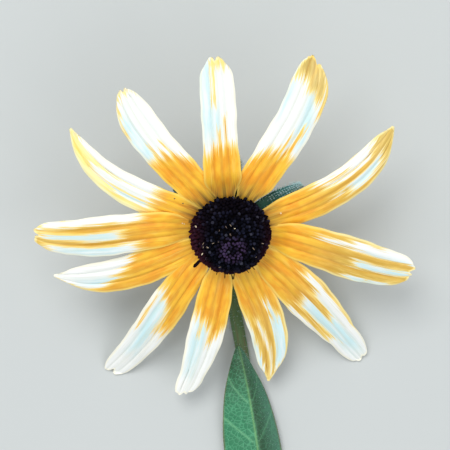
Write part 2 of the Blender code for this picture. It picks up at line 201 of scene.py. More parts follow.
# What the looks add to the green parts: how finely they are drawn, the long bract's wool,
# the stem's ribs, and the leaf's veins, midrib and net. The lines are what the colours read.
GREEN_THICKNESS = 0.45
BRACT_ROWS = 24
BRACT_COLUMNS = 9
WOOLLY_RAMP = (9.0, 6.0)
ROUTE_STEP = 0.6
STEM_SIDES = 48
STEM_RIBS = 10
STEM_RIB_HEIGHT = 0.055
STEM_RIB_SUNK = 0.03
LEAF_ROWS = 190
LEAF_COLUMNS = 71
LEAF_FLOOR = 0.1
LEAF_LOWEST = 0.5
VEIN_RELIEF = 0.2
VEIN_CREST = (0.955, 0.045)
MIDRIB_DEPTH = 0.16
MIDRIB_WIDTH = 0.35
MIDRIB_LINE = 0.22
NET_SCALE = 1.15

# Hairs: how much they bend, and how many of them and how thick each part has
HAIR_BEND = 0.18
HAIR_SIDES = 3
BRACT_HAIRS, BRACT_HAIR = 420, 0.045
WOOL_HAIRS, WOOL_HAIR = 800, 0.07
STEM_HAIRS, STEM_HAIR = 1700, 0.028
LEAF_HAIRS, LEAF_HAIR = 1300, 0.018

# Camera: the picture is this wide at the head, seen from this far
PICTURE_WIDTH = 90.0
CAMERA_AWAY = 500.0
SENSOR = 36.0
PICTURE_MIDDLE = (-1.0, 1.4)

# Stage in metres: the floor's side, the world's light, and each lamp's place from the
# head, size and power
FLOOR_SIDE = 3.0
WORLD_STRENGTH = 0.62
CLIP_START = 0.01
LAMPS = (("key", (-0.2, 0.35, 0.75), 0.5, 4.6), ("fill", (0.3, -0.4, 0.6), 0.6, 1.6))


@dataclass
class Ray:
    """One ray, its shape as in the solids, and where its colours go.

    Azimuths are in degrees at 10 mm, 24 mm and its tip. white_from says how far
    out the white starts, for places from its clockwise edge to its anticlockwise
    edge. white, yellow and cool are strokes along it: the place across at the
    stroke's start and end, how far out it starts and ends, and its half width as
    a share of the ray's. ochre, tan_tip and pale_from tint the yellow.
    """
    azimuths: tuple
    reach: float
    widths: tuple
    end: float = 0.35
    bluntness: float = 13.0
    notch: float = 0.0
    notch_at: float = 0.0
    slant: float = 0.0
    pinch: float = 0.3
    level: int = 0
    drop: float = 2.4
    white_from: tuple = NO_WHITE
    ochre: float = 0.3
    tan_tip: float = 0.0
    pale_from: float = 30.0
    white: tuple = ()
    yellow: tuple = ()
    cool: tuple = ()


# The rays, clockwise from the top one
RAYS = (
    Ray((99, 96.8, 96.4), 38.1, (7.8, 6.9, 7.2), pinch=0.48, notch=1.1, level=1, drop=2.0,
        white_from=(18.6, 19.0, 18.8, 18.4, 17.8), ochre=0.1, pale_from=26.0,
        yellow=((0.25, 0.2, 28.0, 37.0, 0.07), (-0.4, -0.2, 36.0, 40.0, 0.8),
                (-0.35, -0.3, 19.0, 24.5, 0.06), (0.05, 0.05, 19.0, 22.0, 0.06)),
        cool=((0.6, 0.8, 20.0, 38.0, 0.35), (0.1, 0.1, 20.0, 27.0, 0.2))),
    Ray((66.5, 63.2, 67.6), 40.8, (7.2, 8.2, 8.2), pinch=0.48, bluntness=15, notch=1.2,
        notch_at=-0.3, slant=0.6, drop=2.6, tan_tip=1.0,
        white_from=(19.6, 20.2, 19.4, 18.6, 16.4), ochre=0.2,
        yellow=((0.2, 0.2, 35.8, 44.0, 0.72), (-0.2, -0.2, 33.8, 44.0, 0.3),
                (-0.6, -0.6, 32.2, 44.0, 0.2), (-0.97, -0.97, 29.5, 43.0, 0.14),
                (-0.5, -0.6, 19.0, 26.0, 0.08), (-0.15, -0.25, 19.0, 24.0, 0.06)),
        cool=((-0.6, -0.4, 22.0, 36.0, 0.35), (0.9, 0.9, 26.0, 40.0, 0.2))),
    Ray((20.5, 24.2, 36), 39.3, (6.6, 7.4, 7.0), pinch=0.36, end=0.13, bluntness=12, drop=3.0,
        ochre=0.8, tan_tip=0.6,
        white=((0.92, 0.85, 19.5, 34.0, 0.16), (0.45, 0.35, 21.5, 31.5, 0.13),
               (0.6, 0.6, 27.0, 33.0, 0.2), (-0.42, -0.38, 25.5, 33.5, 0.23),
               (-0.3, -0.3, 22.6, 24.0, 0.06)),
        cool=((-0.4, -0.35, 25.0, 34.0, 0.25),)),
    Ray((-8, -13.8, -14), 38.9, (6.6, 9.2, 8.6), end=0.52, bluntness=16, notch=0.9, slant=0.2,
        level=2, drop=2.2, ochre=0.95,
        white=((0.52, 0.62, 18.5, 30.0, 0.09), (0.6, 0.68, 25.0, 43.0, 0.2),
               (0.85, 0.85, 31.2, 43.0, 0.35), (-0.16, -0.2, 27.0, 38.5, 0.15),
               (-0.93, -0.93, 26.0, 29.6, 0.15), (-0.93, -0.93, 30.0, 34.6, 0.13)),
        cool=((-0.16, -0.2, 25.0, 39.0, 0.3), (-0.93, -0.93, 24.0, 38.0, 0.25),
              (0.45, 0.5, 28.0, 38.0, 0.1))),
    Ray((320, 316.8, 313.9), 41.5, (6.2, 9.2, 7.1), end=0.62, bluntness=20, notch=0.9,
        notch_at=0.15, level=1, drop=6.6, ochre=0.8, tan_tip=0.5,
        white_from=(31.0, 33.8, 31.0, 30.0, 35.0),
        white=((0.72, 0.6, 18.5, 27.0, 0.12), (0.5, 0.6, 22.5, 42.0, 0.26),
               (-0.3, -0.2, 22.5, 35.0, 0.22), (-0.1, 0.0, 29.5, 42.0, 0.4),
               (-1.02, -1.02, 21.0, 38.0, 0.22)),
        cool=((-0.25, 0.0, 22.0, 39.0, 0.5),)),
    Ray((289.6, 290.9, 284.7), 35.9, (6.0, 7.9, 6.4), end=0.12, bluntness=11, drop=0.8, ochre=0.9,
        tan_tip=0.6,
        white=((-1.05, -1.0, 20.5, 36.0, 0.22), (-0.9, -0.8, 26.0, 36.0, 0.24),
               (-0.4, 0.0, 22.0, 34.0, 0.09),
               (0.35, 0.6, 18.5, 24.0, 0.12), (0.5, 0.6, 22.0, 32.5, 0.28)),
        cool=((0.45, 0.6, 19.0, 34.0, 0.5), (-0.9, -0.8, 23.5, 34.0, 0.3))),
    Ray((259.6, 260, 257.3), 38.8, (5.6, 7.4, 5.8), end=0.7, bluntness=24, notch=0.5,
        slant=-0.6, level=1, drop=0.9, white_from=(19.6, 20.6, 21.6, 24.6, 21.5), ochre=0.2,
        yellow=((0.25, 0.25, 18.0, 26.0, 0.12), (-0.35, -0.4, 19.0, 24.0, 0.06)),
        cool=((-0.4, -0.3, 20.0, 34.0, 0.4),)),
    Ray((230, 235, 233.8), 40.9, (5.8, 7.7, 6.6), end=0.68, bluntness=20, notch=1.4,
        drop=8.2, white_from=(18.3, 19.4, 20.4, 26.0, 26.5), ochre=0.25,
        yellow=((-0.75, -0.8, 20.0, 28.0, 0.06), (0.25, 0.25, 20.0, 28.5, 0.12),
                (0.8, 0.8, 20.0, 27.0, 0.14)),
        cool=((-0.3, -0.1, 19.0, 34.0, 0.4),)),
    Ray((206.5, 204.2, 196), 36.8, (5.8, 7.7, 6.4), end=0.1, bluntness=10, drop=3.4,
        white_from=(20.2, 21.0, 23.5, 27.0, 36.0), ochre=0.35, pale_from=27.0,
        yellow=((0.9, 0.95, 26.0, 40.0, 0.2), (0.85, 0.8, 18.0, 30.0, 0.2),
                (-0.1, 0.0, 19.0, 25.0, 0.05)),
        cool=((0.2, 0.3, 23.0, 32.0, 0.25),)),
    Ray((177, 182.6, 181.1), 39.4, (6.6, 8.9, 7.9), end=0.5, bluntness=15, notch=1.1,
        level=1, drop=2.6, ochre=0.7,
        white=((-0.85, -0.85, 18.0, 38.0, 0.25), (0.0, 0.0, 22.0, 37.5, 0.17),
               (0.8, 0.85, 19.0, 36.5, 0.3)),
        yellow=((-0.4, -0.42, 18.0, 38.0, 0.12), (0.33, 0.33, 18.0, 38.0, 0.1)),
        cool=((0.0, 0.0, 22.0, 37.5, 0.25), (0.7, 0.72, 21.0, 34.5, 0.3))),
    Ray((156, 155.6, 145), 39.2, (6.2, 6.5, 5.1), pinch=0.34, end=0.12, bluntness=12, drop=2.4,
        ochre=0.0, pale_from=14.0,
        white=((-0.8, -0.75, 17.0, 37.0, 0.42), (-0.1, 0.0, 17.5, 31.0, 0.3),
               (0.35, 0.45, 17.5, 25.5, 0.16)),
        cool=((0.35, 0.45, 17.5, 25.0, 0.16),)),
    Ray((126, 128.8, 125.6), 38.0, (6.8, 7.4, 7.5), pinch=0.42, end=0.36, bluntness=11, notch=0.7,
        drop=2.2, white_from=(17.3, 20.0, 21.4, 21.6, 22.4), ochre=0.15,
        yellow=((0.0, 0.0, 37.0, 40.0, 0.8), (0.9, 0.85, 29.0, 37.0, 0.07),
                (-0.4, -0.3, 19.5, 24.0, 0.05), (0.3, 0.35, 20.0, 25.0, 0.05)),
        cool=((0.6, 0.7, 21.0, 34.0, 0.35),)),
)


def smooth_step(x):
    x = np.clip(x, 0.0, 1.0)
    return x * x * (3.0 - 2.0 * x)


def ramp(x, start, run):
    """Smoothly from 0 at the start to 1 a run further on."""
    return smooth_step((x - start) / run)


def through_three(x, knots, values):
    """The parabola through three points, at x."""
    (a, b, c), (p, q, r) = knots, values
    return (p * (x - b) * (x - c) / ((a - b) * (a - c))
            + q * (x - a) * (x - c) / ((b - a) * (b - c))
            + r * (x - a) * (x - b) / ((c - a) * (c - b)))


def head_axes():
    """The head's own x, y and z directions."""
    roll = math.radians(HEAD_ROLL)
    turn = np.array(((math.cos(roll), 0, math.sin(roll)), (0, 1, 0),
                     (-math.sin(roll), 0, math.cos(roll))))
    lean = np.array(((1, 0, 0), (0, math.cos(TILT), -math.sin(TILT)),
                     (0, math.sin(TILT), math.cos(TILT))))
    return (turn @ lean).T


ACROSS, UP, OUT = head_axes()
HEAD = np.array((HEAD_X, HEAD_Y, HEAD_Z))


def on_head(x, y, z):
    """Points given in the head's own axes, in the frame of the solids."""
    x, y, z = (np.asarray(v, dtype=float)[..., None] for v in (x, y, z))
    return HEAD + x * ACROSS + y * UP + z * OUT


def srgb(*levels):
    """A colour as a screen shows it, 0 to 255, in linear light."""
    shares = [v / 255.0 for v in levels]
    return (*(v / 12.92 if v <= 0.04045 else ((v + 0.055) / 1.055) ** 2.4 for v in shares), 1.0)


def new_piece(name, points, faces, values=None, uv=None):
    """A smooth mesh object from points in millimetres, with values and a UV at its points."""
    mesh = bpy.data.meshes.new(name)
    mesh.from_pydata((np.asarray(points) * MM).tolist(), [], faces)
    mesh.shade_smooth()
    for key, numbers in (values or {}).items():
        layer = mesh.attributes.new(key, "FLOAT", "POINT")
        layer.data.foreach_set("value", np.asarray(numbers, dtype=np.float32).ravel())
    if uv is not None:
        layer = mesh.uv_layers.new(name="UVMap")
        corners = np.zeros(len(mesh.loops), dtype=np.int32)
        mesh.loops.foreach_get("vertex_index", corners)
        layer.data.foreach_set("uv", np.asarray(uv, dtype=np.float32)[corners].ravel())
    obj = bpy.data.objects.new(name, mesh)
    bpy.context.scene.collection.objects.link(obj)
    return obj


def dress(obj, material, slot, *nodes):
    """Give a piece its material, its body and the solids it stands for. The slot is not used."""
    obj.data.materials.append(material)
    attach(obj, "root")
    if nodes:
        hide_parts(*nodes)


def grid_normals(grid):
    """The upward normals of a grid."""
    normal = np.cross(np.gradient(grid, axis=0), np.gradient(grid, axis=1))
    normal /= np.linalg.norm(normal, axis=2, keepdims=True)
    return -normal if normal[..., 2].mean() < 0 else normal


def blade(grid, thickness, floor=None):
    """Points and faces of a closed blade round a grid; thickness may vary over it."""
    normal = grid_normals(grid)
    thickness = np.broadcast_to(np.asarray(thickness, dtype=float), grid.shape[:2])[..., None]
    upper, lower = grid + normal * thickness / 2, grid - normal * thickness / 2
    if floor is not None:
        sunk = np.maximum(floor - lower[..., 2], 0.0)
        lower[..., 2] += sunk
        upper[..., 2] += sunk
    rows, columns = grid.shape[:2]
    count = rows * columns
    i, j = np.meshgrid(np.arange(rows - 1), np.arange(columns - 1), indexing="ij")
    a = (i * columns + j).ravel()
    b, c, d = a + 1, a + columns, a + columns + 1
    top = np.stack((a, b, d, c), axis=1)
    rim = np.concatenate((np.arange(columns), np.arange(1, rows) * columns + columns - 1,
                          (rows - 1) * columns + np.arange(columns - 2, -1, -1),
                          np.arange(rows - 2, 0, -1) * columns))
    after = np.roll(rim, -1)
    side = np.stack((rim, after, after + count, rim + count), axis=1)
    probe = np.cross(upper[0, 1] - upper[0, 0], upper[1, 0] - upper[0, 0]) @ normal[0, 0]
    if probe < 0:
        top = top[:, ::-1]
    else:
        side = side[:, ::-1]
    faces = np.concatenate((top, top[:, ::-1] + count, side))
    return np.concatenate((upper.reshape(-1, 3), lower.reshape(-1, 3))), faces.tolist()


def blade_values(values):
    """A grid's values for both faces of its blade."""
    return {key: np.tile(v.ravel(), 2) for key, v in values.items()}


def blade_uv(side, along):
    """The UV map of both faces of a blade, in mm across and along."""
    return np.tile(np.stack((side, along), axis=2).reshape(-1, 2), (2, 1))


def tube_faces(rings, sides):
    """The faces round a tube of rings."""
    return [(i * sides + k, i * sides + (k + 1) % sides, (i + 1) * sides + (k + 1) % sides,
             (i + 1) * sides + k) for i in range(rings - 1) for k in range(sides)]


def bud(place, normal, rings, sides, twist):
    """Points and faces of a small closed nub; rings are (height, radius), the last one a point."""
    side = normal.orthogonal().normalized()
    over = normal.cross(side)
    points = []
    for height, radius in rings[:-1]:
        for k in range(sides):
            a = 2 * math.pi * k / sides + twist
            points.append(place + normal * height + (side * math.cos(a) + over * math.sin(a)) * radius)
    points.append(place + normal * rings[-1][0])
    faces = tube_faces(len(rings) - 1, sides)
    last = (len(rings) - 2) * sides
    for k in range(sides):
        faces.append((last + k, last + (k + 1) % sides, last + sides))
    faces.append(tuple(range(sides - 1, -1, -1)))
    return points, faces


def gather(chunks):
    """Join chunks of (points, faces, value) to one set of points, faces and values."""
    points, faces, values = [], [], []
    for some, their, value in chunks:
        base = len(points)
        points += [tuple(p) for p in some]
        faces += [tuple(k + base for k in face) for face in their]
        values += [value] * len(some)
    return np.array(points), faces, np.array(values)


def hair(root, direction, length, radius):
    """A closed needle at its root, as a chunk for gather."""
    bend = Vector(rng.normal(0, HAIR_BEND, 3))
    way = (Vector(direction) + bend).normalized()
    rings = ((-0.1, radius), (length * 0.55, radius * 0.7), (length, 0.0))
    return (*bud(Vector(root), way, rings, HAIR_SIDES, rng.uniform(0, 2)), 0.0)


def inside(t, r, half, place):
    """How deep (t, r) is in a stroke, in mm across the ray; along it a mm counts less."""
    start, end, low, high, wide = place
    share = np.clip((r - low) / (high - low), 0.0, 1.0)
    across = (wide - np.abs(t - (start + (end - start) * share))) * half
    return np.minimum(across, np.minimum(r - low, high - r) * ALONG)


def ray_surface(ray, index):
    """A ray's middle surface, the place (t, r) of its points and how far aside they are."""
    q = np.linspace(0.0, 1.0, RAY_ROWS)[:, None]
    t = np.linspace(-1.0, 1.0, RAY_COLUMNS)[None, :]
    t = np.sin(t * math.pi / 2) * EDGE_CROWDING + t * (1.0 - EDGE_CROWDING)
    s = 1.0 - (1.0 - q) ** ROW_CROWDING
    ragged = RAGGED * np.sin(t * 7.0 + index * 1.7) * np.sin(t * 3.0 + index)
    tip_edge = (TIP_ROUNDING * t ** 2 + ray.notch * np.exp(-((t - ray.notch_at) / NOTCH_WIDTH) ** 2)
                - ray.slant * t + ragged * (ray.end > BROAD_END))
    reach = ray.reach - tip_edge * ramp(s, 1.0 - TIP_SHARE, TIP_SHARE)
    r = RAY_ROOT + s * (reach - RAY_ROOT)
    azimuth = np.radians(through_three(r, (*AZIMUTH_PLACES, ray.reach), ray.azimuths))
    width = through_three(np.clip(r, *WIDTH_LIMITS), WIDTH_PLACES, ray.widths)
    width = width * (1.0 - ray.pinch * (1.0 - ramp(r, ROOT_END - ROOT_RUN, ROOT_RUN)))
    half = 0.5 * width * (1.0 - (1.0 - ray.end) * s ** ray.bluntness)
    half = half * (1 + LONG_WAVE * np.sin(r * 0.55 + index * 2.1)
                   + SHORT_WAVE * np.sin(r * 1.3 + index))
    side = half * t
    x = r * np.cos(azimuth) - side * np.sin(azimuth)
    y = r * np.sin(azimuth) + side * np.cos(azimuth)
    grooves = sum(np.exp(-((t - g) / GROOVE_WIDTH) ** 2) for g in (-GROOVE_PLACE, GROOVE_PLACE))
    ribs = RIB_HEIGHT * np.sin(side * RIB_RATE + 0.35 * np.sin(r * 0.4 + index)) * (1 - t ** 4)
    droop = np.clip((r - DROOP_FROM) / (ray.reach - DROOP_FROM), 0.0, None) ** DROOP_POWER
    out = ramp(r, RIM_CLEAR, RISE_RUN)
    height = ray.level * LEVEL_STEP * out
    height = height - ray.drop * droop
    height = height + ARCH * np.sin(math.pi * np.clip(s * ARCH_SPREAD, 0.0, 1.0)) * out
    height = height - CUPPING * half * t ** 2 * out
    height = height - (GROOVE_DEPTH * GROOVE_GAIN * grooves * (1.0 - 0.6 * s ** 6) - ribs) * out
    height = height + EDGE_WAVE * np.sin(r * 0.9 + index * 1.3 + 2 * np.sign(t)) * np.abs(t) ** 3 * out
    grid = on_head(x, y, -SEAT_GAP - RAY_THICKNESS / 2 + 0.0 * x)
    grid[..., 2] += height
    grid[..., 2] = np.maximum(grid[..., 2], RAY_THICKNESS / 2)
    return grid, t + 0 * r, r, side


def ray_values(ray, t, r, side):
    """What the rays' material reads at each point, by name."""
    half = np.abs(side[:, -1:])
    # The grooves' lines make the white start later and carry the painted groove shade
    grooves = sum(np.exp(-((t - g) / GROOVE_LINE) ** 2) for g in (-GROOVE_PLACE, 0.0, GROOVE_PLACE))
    start = np.interp(t, np.linspace(-1.0, 1.0, len(ray.white_from)), ray.white_from)
    bleach = (r - start - GROOVE_DELAY * grooves) * ALONG
    for place in ray.white:
        bleach = np.maximum(bleach, inside(t, r, half, place))
    for place in ray.yellow:
        bleach = np.minimum(bleach, -inside(t, r, half, place))
    cool = LEAST_COOL + 0 * r
    for place in ray.cool:
        cool = np.maximum(cool, smooth_step(0.5 + 0.6 * inside(t, r, half, place)))
    ochre = ray.ochre * ramp(r, *OCHRE_RAMP)
    tan = ray.tan_tip * ramp(r, *TAN_RAMP)
    pale = ramp(r, ray.pale_from, PALE_RUN) * (1.0 - np.maximum(ochre, tan))
    # Painted shade: the rays' roots darken towards the disc, most on the upper rays
    shade = 0.1 + 0.9 * ramp(math.sin(math.radians(ray.azimuths[0])), *SHADE_RAMP)
    root = shade * ramp(r, *ROOT_SHADE_RAMP) * (0.75 + 0.25 * np.cos(t * 9.0))
    rim = ramp(np.minimum((1.0 - np.abs(t)) * half, r[-1:] - r), *RIM_RAMP)
    return {"bleach": np.clip(bleach, -DEEP, DEEP), "cool": cool, "ochre": ochre, "tan": tan,
            "pale": pale, "root": root, "rim": rim, "groove_shade": grooves}


def make_rays(material, fleck_material):
    tops = []
    for index, ray in enumerate(RAYS):
        grid, t, r, side = ray_surface(ray, index)
        edge = 1.0 - EDGE_THINNING * ramp(np.abs(t), *EDGE_RAMP)
        points, faces = blade(grid, BLADE_THICKNESS * edge, floor=0.0)
        piece = new_piece("ray_%02d" % (index + 1), points, faces,
                          blade_values(ray_values(ray, t, r, side)), blade_uv(side + 20.0 * index, r))
        dress(piece, material, "ray", "ray_petals")
        tops.append(points[:t.size])
    tops = np.concatenate(tops)
    low, middle, top = FLECK_RISE
    chunks = []
    for x, y, bright, radius in FLECKS:
        near = tops[np.hypot(tops[:, 0] - HEAD[0] - x, tops[:, 1] - HEAD[1] - y) < FLECK_NEAR]
        spot = Vector(near[np.argmax(near[:, 2])])
        rings = ((low, radius), (middle, radius * 0.8), (top, 0.0))
        chunks.append((*bud(spot, Vector(OUT), rings, FLECK_SIDES, 0.0), bright))
    points, faces, bright = gather(chunks)
    dress(new_piece("ray_flecks", points, faces, {"bright": bright}), fleck_material,
          "ray", "ray_petals")


class Graph:
    """A material's node tree, built a node at a time."""

    def __init__(self, name, roughness):
        self.material = bpy.data.materials.new(name)
        self.material.use_nodes = True
        self.tree = self.material.node_tree
        self.shader = self.tree.nodes["Principled BSDF"]
        self.shader.inputs["Roughness"].default_value = roughness

    def put(self, socket, value):
        if isinstance(value, bpy.types.NodeSocket):
            self.tree.links.new(value, socket)
        else:
            socket.default_value = value

    def node(self, kind, output=0, settings=None, **inputs):
        node = self.tree.nodes.new("ShaderNode" + kind)
        for key, value in (settings or {}).items():
            setattr(node, key, value)
        for key, value in inputs.items():
            self.put(node.inputs[key.replace("_", " ")], value)
        return node.outputs[output]

    def math(self, operation, a, b):
        node = self.tree.nodes.new("ShaderNodeMath")
        node.operation = operation
        self.put(node.inputs[0], a)
        self.put(node.inputs[1], b)
        return node.outputs[0]

    def value(self, name):
        """A value that a piece holds at its points."""
        return self.node("Attribute", output=2, settings={"attribute_name": name})

    def mix(self, share, a, b):
        node = self.tree.nodes.new("ShaderNodeMix")
        node.data_type = "RGBA"
        self.put(node.inputs[0], share)
        self.put(node.inputs[6], a)
        self.put(node.inputs[7], b)
        return node.outputs[2]

    def tint(self, value, strength, a, b):
        """Colour a, turned towards b by a value times a strength."""
        return self.mix(self.math("MULTIPLY", value, strength), a, b)

    def step(self, value, low, high, to_low=0.0, to_high=1.0):
        return self.node("MapRange", settings={"interpolation_type": "SMOOTHSTEP"}, Value=value,
                         From_Min=low, From_Max=high, To_Min=to_low, To_Max=to_high)

    def stretched(self, across, along, detail=3.0, roughness=0.6):
        """Noise over the UV map, drawn out along it."""
        place = self.node("Mapping", Vector=self.node("UVMap"), Scale=(across, along, 1.0))
        return self.node("TexNoise", Vector=place, Scale=1.0, Detail=detail, Roughness=roughness)

    def grain(self, scale, detail=3.0):
        """Noise over the object, its scale in cells a metre."""
        place = self.node("TexCoord", output=3)
        return self.node("TexNoise", Vector=place, Scale=scale, Detail=detail, Roughness=0.6)

    def finish(self, colour, height=None, depth=0.00005, strength=0.5):
        """The material, with its colour and a bump of a depth in metres."""
        self.put(self.shader.inputs["Base Color"], colour)
        if height is not None:
            bump = self.node("Bump", Height=height, Distance=depth, Strength=strength)
            self.put(self.shader.inputs["Normal"], bump)
        return self.material


# Colours of the rays, where two are named for one thing from the darker to the lighter
DEEP_YELLOWS = srgb(246, 164, 24), srgb(255, 196, 46)
OCHRES = srgb(206, 162, 54), srgb(226, 188, 86)
TANS = srgb(208, 178, 92), srgb(234, 208, 130)
PALE_YELLOWS = srgb(250, 230, 126), srgb(255, 246, 176)
LIGHT_PATCH = srgb(255, 208, 92)
BROWN_LINE = srgb(190, 126, 34)
# Painted shade in the grooves, on yellow
GROOVE_SHADE_BROWN = srgb(176, 114, 28)
YELLOW_RIM = srgb(255, 214, 92)
OCHRE_RIM = srgb(255, 244, 178)
PALE_RIM = srgb(255, 248, 200)
# Painted shade at the rays' roots
ROOT_SHADE_OLIVE = srgb(104, 80, 30)
WHITES = srgb(249, 248, 243), srgb(206, 237, 240)
GREY_LINE = srgb(222, 218, 186)
GROOVE_SHADE_GREY = srgb(196, 206, 186)
# Painted shade in the grooves, on white
WHITE_RIM = srgb(255, 246, 206)
FADED_YELLOW = srgb(255, 228, 136)


def ray_material():
    g = Graph("ray_petal", 0.62)
    flame = g.stretched(2.4, 0.05, detail=4.0, roughness=0.75)
    patch = g.stretched(1.0, 0.12)
    lines = g.stretched(5.0, 0.08, detail=4.0, roughness=0.7)
    blotch = g.stretched(0.5, 0.2, detail=2.0)
    patches = g.step(patch, 0.35, 0.65)
    yellow = g.mix(g.step(blotch, 0.35, 0.65), *DEEP_YELLOWS)
    yellow = g.mix(g.value("ochre"), yellow, g.mix(patches, *OCHRES))
    yellow = g.mix(g.value("tan"), yellow, g.mix(patches, *TANS))
    yellow = g.mix(g.step(patch, 0.54, 0.7, 0.0, 0.5), yellow, LIGHT_PATCH)
    yellow = g.mix(g.step(lines, 0.53, 0.64, 0.0, 0.42), yellow, BROWN_LINE)
    # Painted shade: a darker brown line along each groove
    yellow = g.tint(g.value("groove_shade"), 0.32, yellow, GROOVE_SHADE_BROWN)
    yellow = g.tint(g.value("pale"), 0.95, yellow, g.mix(patches, *PALE_YELLOWS))
    rim = g.mix(g.value("pale"), g.mix(g.value("ochre"), YELLOW_RIM, OCHRE_RIM), PALE_RIM)
    yellow = g.tint(g.value("rim"), 0.8, yellow, rim)
    # Painted shade at the roots of the rays, strongest on the upper ones
    yellow = g.tint(g.value("root"), g.step(lines, 0.35, 0.6, 0.55, 1.0), yellow, ROOT_SHADE_OLIVE)
    white = g.tint(g.value("cool"), g.step(patch, 0.3, 0.6, 0.35, 1.0), *WHITES)
    white = g.mix(g.step(lines, 0.5, 0.66, 0.0, 0.4), white, GREY_LINE)
    # Painted shade: a greyer line along each groove
    white = g.tint(g.value("groove_shade"), 0.3, white, GROOVE_SHADE_GREY)
    white = g.tint(g.value("rim"), 0.45, white, WHITE_RIM)
    wander = g.math("MULTIPLY", g.math("SUBTRACT", flame, 0.5), 3.0)
    wander = g.math("ADD", wander, g.math("MULTIPLY", g.math("SUBTRACT", lines, 0.5), 1.3))
    depth = g.math("ADD", g.value("bleach"), wander)
    yellow = g.mix(g.step(depth, -0.5, 0.0, 0.0, 0.8), yellow, FADED_YELLOW)
    colour = g.mix(g.step(depth, -0.12, 0.24), yellow, white)
    return g.finish(colour, height=g.math("ADD", lines, patch), depth=0.00006, strength=0.45)


def dome_place(radius, azimuth):
    """A point of the dome at a share of its plan radius, and the normal there."""
    x = DOME_RADIUS * radius
    z = DOME_HEIGHT * math.sqrt(max(0.0, 1.0 - radius ** 2))
    normal = Vector((x / DOME_RADIUS ** 2, 0.0, z / DOME_HEIGHT ** 2)).normalized()
    turn = (math.cos(azimuth), math.sin(azimuth))
    return (Vector((x * turn[0], x * turn[1], z)),
            Vector((normal.x * turn[0], normal.x * turn[1], normal.z)))


def floret_chunks():
    """The florets with their ring, maroon and pick values, and the place and way of their tips."""
    chunks, spots = [], []
    for k in range(FLORETS):
        polar = math.acos(1.0 - (k + 0.5) / FLORETS)
        polar = min(math.pi / 2, max(0.0, polar + rng.normal(0, POLAR_SPREAD)))
        azimuth = k * GOLDEN + rng.normal(0, AZIMUTH_SPREAD) / max(math.sin(polar), 0.15)
        place, normal = dome_place(math.sin(polar), azimuth)
        normal = (normal + Vector(rng.normal(0, LEAN_SPREAD, 3))).normalized()
        share = polar / (math.pi / 2)
        size = FLORET_WIDE + 0.09 * smooth_step(share * 1.6) + rng.uniform(-0.05, 0.05)
        tall = FLORET_TALL + 0.22 * smooth_step((share - 0.25) * 2.0) + rng.uniform(-0.18, 0.2)
        tall *= 0.55 + 0.45 * smooth_step(share / 0.2)
        tip = 0.35 + 0.5 * float(rng.uniform() < 0.3)
        rings = ((-SUNK, size * 0.8), (tall * 0.45, size), (tall * 0.85, size * tip), (tall, 0.0))
        points, faces = bud(place, normal, rings, FLORET_SIDES, rng.uniform(0, 1))
        ring = math.exp(-((share - 0.15) / 0.07) ** 2)
        left = smooth_step(0.95 * math.cos(azimuth - MAROON_LEFT))
        right = math.exp(-(math.remainder(azimuth - MAROON_RIGHT, 2 * math.pi) / 0.5) ** 2)
        maroon = ramp(share, 0.4, 0.4) * min(1.0, 0.9 * left + 0.45 * right + 0.04)
        chunks.append((points, faces, (ring, maroon, rng.uniform())))
        spots.append((place + normal * tall * 0.9, normal))
    return chunks, spots


def bristle_chunks():
    """The bristles, rooted where the camera sees the dome end."""
    chunks = []
    for azimuth, lean, length, radius in BRISTLES:
        low = math.atan(EDGE_SLOPE * max(0.0, -math.sin(math.radians(azimuth))))
        spot, _ = dome_place(math.cos(low), math.radians(azimuth))
        away = math.radians(azimuth + lean)
        way = Vector((math.cos(away), math.sin(away), math.tan(low) * 0.9)).normalized()
        rings = ((0.0, radius * 0.8), (length * 0.85, radius), (length, radius * 0.5),
                 (length + 0.05, 0.0))
        chunks.append((*bud(spot, way, rings, FLORET_SIDES, 0.0), BRISTLE_VALUES))
    return chunks


def speck_chunks(spots):
    """The specks of pollen, each on the floret that is nearest in plan."""
    tips = on_head(*np.array([spot for spot, _ in spots]).T) - HEAD
    chunks = []
    for x, y, bright in SPECKS:
        spot, normal = spots[int(np.argmin(np.hypot(tips[:, 0] - x, tips[:, 1] - y)))]
        lean = (normal + Vector(rng.normal(0, SPECK_LEAN, 3))).normalized()
        big = rng.uniform(0.7, 1.0)
        rings = ((-SUNK, 0.06 * big), (0.1, 0.1 * big), (0.4 * big, 0.08 * big), (0.55 * big, 0.0))
        chunks.append((*bud(spot, lean, rings, SPECK_SIDES, 0.3), bright ** BRIGHT_POWER))
    return chunks


def make_disc(materials):
    chunks, spots = floret_chunks()
    points, faces, values = gather(chunks + bristle_chunks())
    florets = new_piece("disc_florets", on_head(*points.T), faces,
                        {"ring": values[:, 0], "maroon": values[:, 1], "pick": values[:, 2]})
    dress(florets, materials["floret"], "cone", "disc_cone")
    points, faces, bright = gather(speck_chunks(spots))
    dress(new_piece("pollen_specks", on_head(*points.T), faces, {"bright": bright}),
          materials["pollen"], "cone", "disc_cone")
    points = []
    for i in range(DOME_ROWS + 1):
        angle = math.pi / 2 * i / DOME_ROWS
        wide = DOME_RADIUS * math.cos(angle) if i < DOME_ROWS else DOME_TOP
        for k in range(DOME_SIDES):
            a = 2 * math.pi * k / DOME_SIDES
            points.append((wide * math.cos(a), wide * math.sin(a), DOME_HEIGHT * math.sin(angle)))
    faces = tube_faces(DOME_ROWS + 1, DOME_SIDES)
    faces.append(tuple(range(DOME_SIDES - 1, -1, -1)))
    faces.append(tuple(DOME_ROWS * DOME_SIDES + k for k in range(DOME_SIDES)))
    core = new_piece("disc_dome", on_head(*np.array(points).T), faces)
    dress(core, materials["dome"], "cone", "disc_cone")


# Colours of the disc
FLORET_DARKS = srgb(3, 4, 12), srgb(30, 32, 50)
